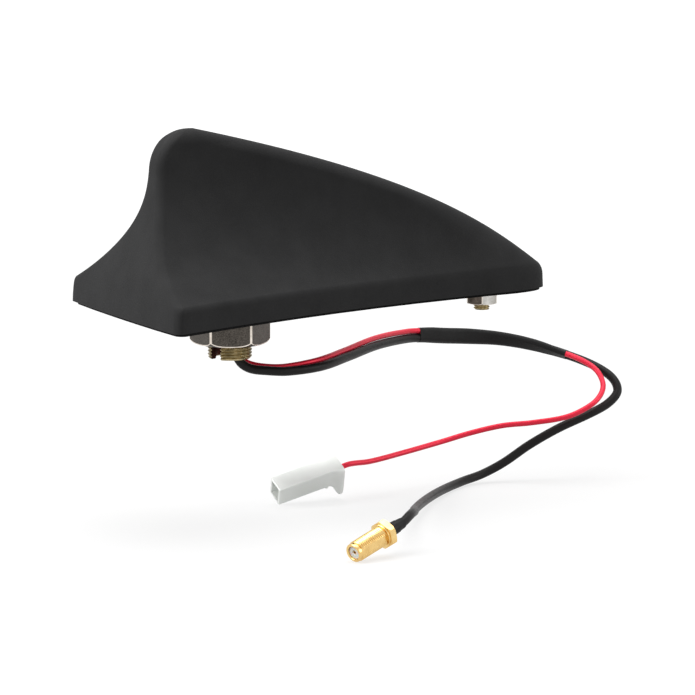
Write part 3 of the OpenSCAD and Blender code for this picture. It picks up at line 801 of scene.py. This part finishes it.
def make_nose_stud():
    around = 72
    rows = thread_rows(
        NOSE_STUD_R,
        NOSE_PITCH,
        NOSE_THREAD_DEPTH,
        NOSE_STUD_END,
        NOSE_THREAD_TOP,
        around,
        lead_in=NOSE_LEAD_IN,
    )
    head = [(NOSE_HEAD_R, NOSE_HEAD_LOW), (NOSE_HEAD_R, NOSE_HEAD_TOP)]
    rows += circle_rows(head, around)
    stud = rows_object("threaded_nose_stud", rows, closed=False)
    return place(stud, Matrix.Translation((NOSE_STUD_X, 0, 0)))


nose_stud = keep(make_nose_stud(), "bright_steel", "nose_stud")


# ---------------------------------------------------------------- aerial jack


def on_axis(at, yaw, dip, roll=0.0):
    """Turns a piece drawn along Z onto a connector's axis."""
    return (
        Matrix.Translation(at)
        @ Matrix.Rotation(yaw, 4, "Z")
        @ Matrix.Rotation(math.pi / 2 + dip, 4, "Y")
        @ Matrix.Rotation(roll, 4, "Z")
    )


JACK = on_axis(JACK_AT, JACK_YAW, JACK_DIP)
JACK_R = 3.175
JACK_L = 12.8
JACK_AF = 8.0
JACK_HEX_T = 2.4
JACK_FLAT = 0.45
JACK_PITCH = 0.7056
JACK_THREAD_DEPTH = 0.36
JACK_TAIL_R, JACK_TAIL_Z, JACK_TAIL_TOP = 1.8, -5, 0.6
JACK_BORE_R = 1.5
JACK_SOCKET_Z = 3.2
JACK_COLLAR_R = JACK_R + 0.55
JACK_TIP = JACK_HEX_T + JACK_L
JACK_BAND_R = JACK_R - 0.25  # plain band in front of the thread
INSULATOR_R = 2.05
CONTACT_R = 0.64
CONTACT_BORE_R = 0.4
BOOT_L = 7.0
BOOT_R = 2.05
BOOT_BORE_R = COAX_R + 0.03


def make_jack():
    """The threaded barrel with its solder tail, and the hexagon round its rear."""
    around = 96
    shoulder = JACK_HEX_T + 0.5
    rows = circle_rows(
        [
            (JACK_BORE_R, JACK_TAIL_Z),
            (JACK_TAIL_R, JACK_TAIL_Z),
            (JACK_TAIL_R, JACK_TAIL_TOP),
            (JACK_R + 0.45, JACK_TAIL_TOP),
            (JACK_COLLAR_R, JACK_HEX_T),
            (JACK_COLLAR_R, shoulder - 0.15),
            (JACK_R + 0.4, shoulder),
        ],
        around,
    )
    threads = thread_rows(
        JACK_R,
        JACK_PITCH,
        JACK_THREAD_DEPTH,
        shoulder,
        JACK_TIP - 1.2,
        around,
        per_pitch=8,
        lead_in=0.0,
    )
    flat = JACK_R - JACK_FLAT
    rows += [[(x, min(y, flat), z) for x, y, z in row] for row in threads]
    rows += circle_rows(
        [
            (JACK_BAND_R, JACK_TIP - 1.15),
            (JACK_BAND_R, JACK_TIP - 0.2),
            (JACK_BAND_R - 0.2, JACK_TIP),
            (INSULATOR_R + 0.12, JACK_TIP),
            (INSULATOR_R + 0.02, JACK_TIP - 0.12),
            (INSULATOR_R + 0.02, JACK_SOCKET_Z),
            (JACK_BORE_R, JACK_SOCKET_Z),
        ],
        around,
    )
    body = rows_object("jack_thread_body", rows)
    nut = make_nut(
        "jack_hexagon", JACK_AF, JACK_HEX_T, bore=1.75, chamfer=0.9, edge=0.15
    )
    for piece in (body, nut):
        place(piece, JACK)
    return body, nut


jack, jack_hexagon = make_jack()
keep(jack, "gold", "jack_body")
keep(jack_hexagon, "gold")

insulator = lathe(
    "jack_white_insulator",
    [
        (CONTACT_R + 0.02, 4.2),
        (INSULATOR_R, 4.2),
        (INSULATOR_R, JACK_TIP - 0.65),
        (INSULATOR_R - 0.12, JACK_TIP - 0.5),
        (CONTACT_R + 0.2, JACK_TIP - 0.5),
        (CONTACT_R + 0.02, JACK_TIP - 0.7),
    ],
)
keep(place(insulator, JACK), "white_insulator", "jack_insulator")

contact = lathe(
    "jack_socket_contact",
    [
        (0.02, 4.3),
        (CONTACT_R, 4.3),
        (CONTACT_R, JACK_TIP - 0.85),
        (CONTACT_R - 0.12, JACK_TIP - 0.7),
        (CONTACT_BORE_R + 0.02, JACK_TIP - 0.7),
        (CONTACT_BORE_R, JACK_TIP - 0.8),
        (CONTACT_BORE_R, JACK_TIP - 5),
        (0.02, JACK_TIP - 5.2),
    ],
    around=48,
)
keep(place(contact, JACK), "gold", "jack_contact")

boot = lathe(
    "jack_boot",
    [
        (BOOT_BORE_R, -BOOT_L),
        (COAX_R + 0.2, -BOOT_L),
        (COAX_R + 0.3, -BOOT_L + 0.8),
        (COAX_R + 0.34, -BOOT_L + 1.8),
        (BOOT_R - 0.06, -BOOT_L + 2.6),
        (BOOT_R, -BOOT_L + 3.6),
        (BOOT_R, -0.5),
        (BOOT_R - 0.05, -0.1),
        (BOOT_R - 0.2, 0),
        (JACK_TAIL_R + 0.02, 0),
        (JACK_TAIL_R + 0.02, JACK_TAIL_Z),
        (BOOT_BORE_R, JACK_TAIL_Z - 0.4),
    ],
    around=64,
)
keep(place(boot, JACK), "heat_shrink", "boot_sleeve")


# ---------------------------------------------------------------- supply plug

PLUG = on_axis(PLUG_AT, PLUG_YAW, PLUG_DIP, PLUG_ROLL)
PLUG_W = 6.2
PLUG_D = 7.1
PLUG_L = 23.0
PLUG_WALL = 0.9
PLUG_CAVITY = 14.0
PLUG_EDGE = 0.35
PLUG_CORNER_STEPS = 6
FLARE_ROUND = 1.3  # how much rounder the corners are at the flange's full reach
WIRE_HOLE_R = WIRE_R + 0.6
BARREL_R = WIRE_R + 0.45
AXIS_R = 0.0001  # stands for the axis in a turned profile
# Across, through, from and to along the axis
RIB = (PLUG_D - 2.4, 0.6, 6, 7.2)
TOOTH = (1.6, 1.4, 4.9, 5.9)
TABS = [(4.2, 1.0, 0.1, 6), (2.8, 0.8, 5.9, 11)]  # along the axis from the cavity's root
FLAP, COLLAR = 5.2, 1.3  # how far the flange stands out on one side and on its two neighbours
# Distance from the rear face and the share of the flange's reach that it has there
FLARE = [
    (0, 0.8), (0.3, 0.95), (0.7, 1), (1.3, 0.97), (1.9, 0.8), (2.4, 0.55), (3, 0.3),
    (3.8, 0.1), (4.8, 0),
]  # fmt: skip


def plug_row(share, z, inset=0.0):
    """Level section of the housing with round corners, let out by a share of the flange."""
    east = PLUG_D / 2 - inset
    west = -east - FLAP * share
    side = PLUG_W / 2 + COLLAR * share - inset
    radius = PLUG_EDGE + FLARE_ROUND * share
    row = []
    for k, (x, y) in enumerate(
        (
            (east - radius, side - radius),
            (west + radius, side - radius),
            (west + radius, radius - side),
            (east - radius, radius - side),
        )
    ):
        for step in range(PLUG_CORNER_STEPS + 1):
            a = math.pi / 2 * (k + step / PLUG_CORNER_STEPS)
            row.append((x + radius * math.cos(a), y + radius * math.sin(a), z))
    return row


def bar(name, across, through, low, high):
    return prism(name, rectangle(across, through), low, high)


def rod(name, radius, low, high):
    """A closed round rod on the Z axis."""
    profile = [(AXIS_R, low), (radius, low), (radius, high), (AXIS_R, high)]
    return lathe(name, profile, around=48, closed=False, smooth=False)


def make_plug():
    """The housing with its flange, a rib, a tooth, the wire's hole and the open mouth."""
    rows = [plug_row(share, z) for z, share in FLARE]
    rows += [plug_row(0, PLUG_L - 0.2), plug_row(0, PLUG_L, 0.15)]
    housing = rows_object("plug_shell", rows, closed=False)
    rib = bar("plug_rib_tool", *RIB)
    place(rib, Matrix.Translation((0, PLUG_W / 2 + 0.2, 0)))
    combine(housing, rib, "UNION")
    tooth = bar("plug_tooth_tool", *TOOTH)
    place(tooth, Matrix.Translation((-PLUG_D / 2, 1 - PLUG_W / 2, 0)))
    combine(housing, tooth, "UNION")
    hole = rod("plug_hole_tool", WIRE_HOLE_R, -1, PLUG_L)
    cavity = bar(
        "plug_cavity_tool",
        PLUG_D - 2 * PLUG_WALL,
        PLUG_W - 2 * PLUG_WALL,
        PLUG_L - PLUG_CAVITY,
        PLUG_L + 1,
    )
    combine(housing, cavity, "DIFFERENCE")
    combine(housing, hole, "DIFFERENCE")
    shade(housing, CUT_ANGLE)
    return place(housing, PLUG)


def make_terminal():
    """The crimped barrel on the wire's end and the tab in the housing's mouth."""
    root = PLUG_L - PLUG_CAVITY
    terminal = rod("plug_tab", BARREL_R, 0.05, root + 1)
    for across, through, low, high in TABS:
        tab = bar("tab_tool", across, through, root + low, root + high)
        combine(terminal, tab, "UNION")
    shade(terminal, CUT_ANGLE)
    return place(terminal, PLUG)


plug = keep(make_plug(), "natural_nylon", "plug_housing")
terminal = keep(make_terminal(), "tin", "plug_terminal")


# ---------------------------------------------------------------- materials


NOISE_ROUGHNESS = 0.55
NOISE_LOW, NOISE_HIGH = 0.3, 0.7  # range of the noise that is spread over a surface's range


class Nodes:
    """A material with a Principled shader and the nodes that vary it over the surface."""

    def __init__(self, name, metallic=0.0, **sockets):
        self.material = bpy.data.materials.new(name)
        self.material.use_nodes = True
        self.tree = self.material.node_tree
        self.shader = self.tree.nodes["Principled BSDF"]
        self.shader.inputs["Metallic"].default_value = metallic
        for socket, value in sockets.items():
            self.shader.inputs[socket.replace("_", " ")].default_value = value
        self.coords = self.tree.nodes.new("ShaderNodeTexCoord").outputs["Object"]

    def link(self, out, into):
        self.tree.links.new(out, into)

    def noise(self, scale, detail):
        node = self.tree.nodes.new("ShaderNodeTexNoise")
        node.inputs["Scale"].default_value = scale
        node.inputs["Detail"].default_value = detail
        node.inputs["Roughness"].default_value = NOISE_ROUGHNESS
        self.link(self.coords, node.inputs["Vector"])
        return node.outputs["Fac"]

    def spread(self, value, low, high):
        """The noise's range turned into a range of another measure."""
        node = self.tree.nodes.new("ShaderNodeMapRange")
        node.inputs["From Min"].default_value = NOISE_LOW
        node.inputs["From Max"].default_value = NOISE_HIGH
        node.inputs["To Min"].default_value = low
        node.inputs["To Max"].default_value = high
        self.link(value, node.inputs["Value"])
        return node.outputs["Result"]

    def total(self, first, second):
        node = self.tree.nodes.new("ShaderNodeMath")
        self.link(first, node.inputs[0])
        self.link(second, node.inputs[1])
        return node.outputs[0]

    def blend(self, factor, first, second):
        node = self.tree.nodes.new("ShaderNodeMix")
        node.data_type = "RGBA"
        for socket, colour in ((6, first), (7, second)):  # the colour sockets A and B
            node.inputs[socket].default_value = (*colour, 1)
        self.link(factor, node.inputs[0])
        return node.outputs[2]

    def colour(self, value):
        self.link(value, self.shader.inputs["Base Color"])

    def rough(self, value):
        self.link(value, self.shader.inputs["Roughness"])

    def bump(self, height, distance):
        node = self.tree.nodes.new("ShaderNodeBump")
        node.inputs["Strength"].default_value = 1.0
        node.inputs["Distance"].default_value = distance * MM
        self.link(height, node.inputs["Height"])
        self.link(node.outputs["Normal"], self.shader.inputs["Normal"])


def coated(name, tones, rough, grain, metallic=0.0, patch=90.0, speckle=0.0, **sockets):
    """A surface whose tone drifts in patches and whose fine grain breaks up its gloss.

    tones and rough are (low, high); grain is (scale, height in millimetres); speckle is the
    share of the tone that follows the grain.
    """
    made = Nodes(name, metallic, **sockets)
    drift = made.noise(patch, 4.0)
    fine = made.noise(grain[0], 2.0)
    patches = made.spread(drift, 0, 1 - speckle)
    tone = made.total(patches, made.spread(fine, 0, speckle)) if speckle else patches
    made.colour(made.blend(tone, *tones))
    made.rough(made.spread(fine, *rough))
    made.bump(fine, grain[1])
    return made.material


def paint_two(piece, first, second):
    """A finish for most of a piece and another for the faces given its second material."""
    piece.data.materials[0] = first
    piece.data.materials[1] = second


def paint_flat_shade(nut, facing, material):
    """Paints shade on the flat of a nut that faces one way, as a darker finish of its own."""
    nut.data.materials.append(material)
    for face in nut.data.polygons:
        if face.material_index == 0 and face.normal.dot(facing) > 0.95:
            face.material_index = 2


def paint(material, *pieces):
    for piece in pieces:
        piece = nodes[piece] if isinstance(piece, str) else piece
        piece.data.materials.clear()
        piece.data.materials.append(material)


cover_plastic = coated(
    "moulded_cover",
    ((0.03, 0.03, 0.0305), (0.038, 0.038, 0.0385)),
    (0.55, 0.72),
    (2600, 0.05),
    Specular_IOR_Level=0.06,
)
base_plastic = coated(
    "moulded_base",
    ((0.02,) * 3, (0.028,) * 3),
    (0.5, 0.65),
    (1500, 0.04),
    Specular_IOR_Level=0.15,
)
rubber = coated(
    "gasket_rubber",
    ((0.006,) * 3, (0.01,) * 3),
    (0.65, 0.85),
    (1200, 0.03),
    Specular_IOR_Level=0.08,
)
jacket = coated(
    "cable_jacket",
    ((0.012, 0.011, 0.011), (0.018, 0.017, 0.017)),
    (0.36, 0.5),
    (1800, 0.015),
    Specular_IOR_Level=0.16,
)
shrink = coated(
    "heat_shrink",
    ((0.012,) * 3, (0.018,) * 3),
    (0.42, 0.56),
    (900, 0.03),
    Specular_IOR_Level=0.16,
)
red = coated(
    "wire_jacket",
    ((0.94, 0.014, 0.05), (1.0, 0.022, 0.07)),
    (0.32, 0.44),
    (1500, 0.008),
    metallic=0.25,
    Specular_IOR_Level=0.4,
)
yellow_zinc = coated(
    "yellow_zinc",
    ((0.14, 0.11, 0.05), (0.5, 0.41, 0.23)),
    (0.26, 0.44),
    (900, 0.02),
    metallic=1.0,
    patch=320.0,
)
# Dark red-brown steel that paints shade inside the roof stud's bore and slot
painted_bore_shade = coated(
    "steel_painted_shade",
    ((0.03, 0.009, 0.006), (0.09, 0.03, 0.02)),
    (0.4, 0.6),
    (900, 0.02),
    metallic=1.0,
    patch=320.0,
)
nickel = coated(
    "dull_nickel",
    ((0.022, 0.02, 0.017), (0.13, 0.115, 0.1)),
    (0.26, 0.42),
    (2600, 0.012),
    metallic=1.0,
    patch=220.0,
    speckle=0.75,
)
# Pale nickel that paints highlights on the nuts' corners and edge bands
nickel_edge_highlight = coated(
    "nickel_edges_painted_highlight",
    ((0.5, 0.44, 0.38), (0.85, 0.78, 0.7)),
    (0.2, 0.32),
    (1600, 0.01),
    metallic=1.0,
    patch=400.0,
)
# A darker zinc that paints shade on one flat of the nose nut
zinc_painted_shade = coated(
    "zinc_flat_painted_shade",
    ((0.05, 0.042, 0.034), (0.15, 0.125, 0.105)),
    (0.3, 0.45),
    (1600, 0.01),
    metallic=1.0,
    patch=500.0,
)
bright = coated(
    "bright_zinc",
    ((0.26, 0.245, 0.22), (0.62, 0.61, 0.58)),
    (0.2, 0.34),
    (1300, 0.01),
    metallic=1.0,
    patch=300.0,
)
gold = coated(
    "gold_plate",
    ((0.72, 0.47, 0.17), (0.88, 0.63, 0.27)),
    (0.16, 0.3),
    (900, 0.006),
    metallic=1.0,
    patch=300.0,
)
white = coated(
    "white_insulator",
    ((0.82, 0.81, 0.78), (0.9, 0.89, 0.87)),
    (0.3, 0.45),
    (900, 0.006),
    Subsurface_Weight=0.3,
    Subsurface_Scale=0.0006,
)
nylon = coated(
    "natural_nylon",
    ((0.93, 0.96, 0.92), (0.97, 0.99, 0.96)),
    (0.4, 0.55),
    (600, 0.01),
    patch=140.0,
    metallic=0.45,
    Subsurface_Weight=0.65,
    Subsurface_Radius=(1.0, 1.0, 1.0),
    Subsurface_Scale=0.0022,
)
board_green = coated(
    "circuit_board",
    ((0.02, 0.12, 0.05), (0.03, 0.17, 0.07)),
    (0.3, 0.45),
    (900, 0.01),
)
copper = coated(
    "copper_track",
    ((0.6, 0.3, 0.15), (0.75, 0.42, 0.24)),
    (0.25, 0.4),
    (900, 0.005),
    metallic=1.0,
)
tin = coated(
    "tinned_sheet",
    ((0.5,) * 3, (0.66,) * 3),
    (0.25, 0.42),
    (900, 0.01),
    metallic=1.0,
)

paint(cover_plastic, cover)
paint(base_plastic, "base_plate")
paint(rubber, "seal_gasket")
# The roof stud's bore and slot walls get painted shade
paint_two(roof_stud, yellow_zinc, painted_bore_shade)
paint(yellow_zinc, nose_stud)
paint(nickel, "toothed_washer")
# The nuts' corners and edge bands carry painted highlight
paint_two(roof_nut, nickel, nickel_edge_highlight)
paint_two(nose_nut, bright, nickel_edge_highlight)
paint_flat_shade(nose_nut, Vector((-0.848, -0.53, 0)), zinc_painted_shade)  # the flat on its left, darkened with painted shade
paint(bright, "cover_screws", "board_screws")
paint(board_green, "amplifier_board", "antenna_board")
paint(copper, "antenna_track")
paint(tin, "shield_can", terminal)
paint(jacket, coax)
paint(red, wire)
paint(shrink, sleeve, boot)
paint(gold, jack, contact)
paint_two(jack_hexagon, gold, gold)
paint(white, insulator)
paint(nylon, plug)


# ---------------------------------------------------------------- floor, light and world

FLOOR_Z = -66.0
FLOOR_SIZE = 6.0  # metres
FLOOR_GREY = 0.3
GLOW_NEAR, GLOW_FAR = (0.25, 0.72), (1.1, 1.0)  # distance in metres and the glow there
WORLD_LIGHT = 0.3  # strength of the world as light; it is 1 where it is seen
LAMP_AIM = (0.03, 0, 0)  # metres


def seen_directly(tree):
    """1 for camera, glossy and transmission rays, 0 for the light that reaches the object."""
    path = tree.nodes.new("ShaderNodeLightPath")
    total = path.outputs["Is Camera Ray"]
    for name in ("Is Glossy Ray", "Is Transmission Ray"):
        add = tree.nodes.new("ShaderNodeMath")
        add.operation = "MAXIMUM"
        tree.links.new(total, add.inputs[0])
        tree.links.new(path.outputs[name], add.inputs[1])
        total = add.outputs[0]
    return total


def make_floor():
    mesh = bpy.data.meshes.new("floor")
    corners = [(x, y, FLOOR_Z * MM) for x, y in rectangle(FLOOR_SIZE, FLOOR_SIZE)]
    mesh.from_pydata(corners, [], [(0, 1, 2, 3)])
    floor = link("floor", mesh)
    material = bpy.data.materials.new("floor")
    material.use_nodes = True
    tree = material.node_tree
    tree.nodes.clear()
    out = tree.nodes.new("ShaderNodeOutputMaterial")
    diffuse = tree.nodes.new("ShaderNodeBsdfDiffuse")
    diffuse.inputs["Color"].default_value = (FLOOR_GREY, FLOOR_GREY, FLOOR_GREY, 1)
    glow = tree.nodes.new("ShaderNodeEmission")
    glow.inputs["Color"].default_value = (1, 1, 1, 1)
    strength = tree.nodes.new("ShaderNodeMath")
    strength.operation = "MULTIPLY"
    # Far from the lamps the glow makes up for the weaker light on the floor
    coords = tree.nodes.new("ShaderNodeTexCoord")
    distance = tree.nodes.new("ShaderNodeVectorMath")
    distance.operation = "LENGTH"
    tree.links.new(coords.outputs["Object"], distance.inputs[0])
    glow_level = tree.nodes.new("ShaderNodeMapRange")
    glow_level.inputs["From Min"].default_value = GLOW_NEAR[0]
    glow_level.inputs["From Max"].default_value = GLOW_FAR[0]
    glow_level.inputs["To Min"].default_value = GLOW_NEAR[1]
    glow_level.inputs["To Max"].default_value = GLOW_FAR[1]
    tree.links.new(distance.outputs["Value"], glow_level.inputs["Value"])
    tree.links.new(glow_level.outputs["Result"], strength.inputs[1])
    tree.links.new(seen_directly(tree), strength.inputs[0])
    tree.links.new(strength.outputs[0], glow.inputs["Strength"])
    both = tree.nodes.new("ShaderNodeAddShader")
    tree.links.new(diffuse.outputs[0], both.inputs[0])
    tree.links.new(glow.outputs[0], both.inputs[1])
    tree.links.new(both.outputs[0], out.inputs["Surface"])
    mesh.materials.append(material)


def make_world():
    world = bpy.data.worlds.new("world")
    bpy.context.scene.world = world
    world.use_nodes = True
    tree = world.node_tree
    background = tree.nodes["Background"]
    background.inputs["Color"].default_value = (1, 1, 1, 1)
    strength = tree.nodes.new("ShaderNodeMapRange")
    strength.inputs["To Min"].default_value = WORLD_LIGHT
    strength.inputs["To Max"].default_value = 1.0
    tree.links.new(seen_directly(tree), strength.inputs["Value"])
    tree.links.new(strength.outputs["Result"], background.inputs["Strength"])


def softbox(name, place_at, size, power):
    """A plain area lamp, placed and sized in metres and given its power in watts."""
    data = bpy.data.lights.new(name, "AREA")
    data.shape = "RECTANGLE"
    data.size, data.size_y = size
    data.energy = power
    lamp = bpy.data.objects.new(name, data)
    bpy.context.scene.collection.objects.link(lamp)
    lamp.location = place_at
    lamp.rotation_mode = "QUATERNION"
    aim = Vector(LAMP_AIM) - Vector(place_at)
    lamp.rotation_quaternion = aim.to_track_quat("-Z", "Y")


make_floor()
make_world()
softbox("key", (-1.0, 0.05, 0.55), (0.8, 0.8), 10.0)
softbox("top", (0.15, 0.1, 1.1), (1.0, 1.0), 8.0)
softbox("side", (0.95, -0.75, 0.4), (0.5, 0.6), 3.0)

bpy.context.scene.view_settings.view_transform = "Standard"
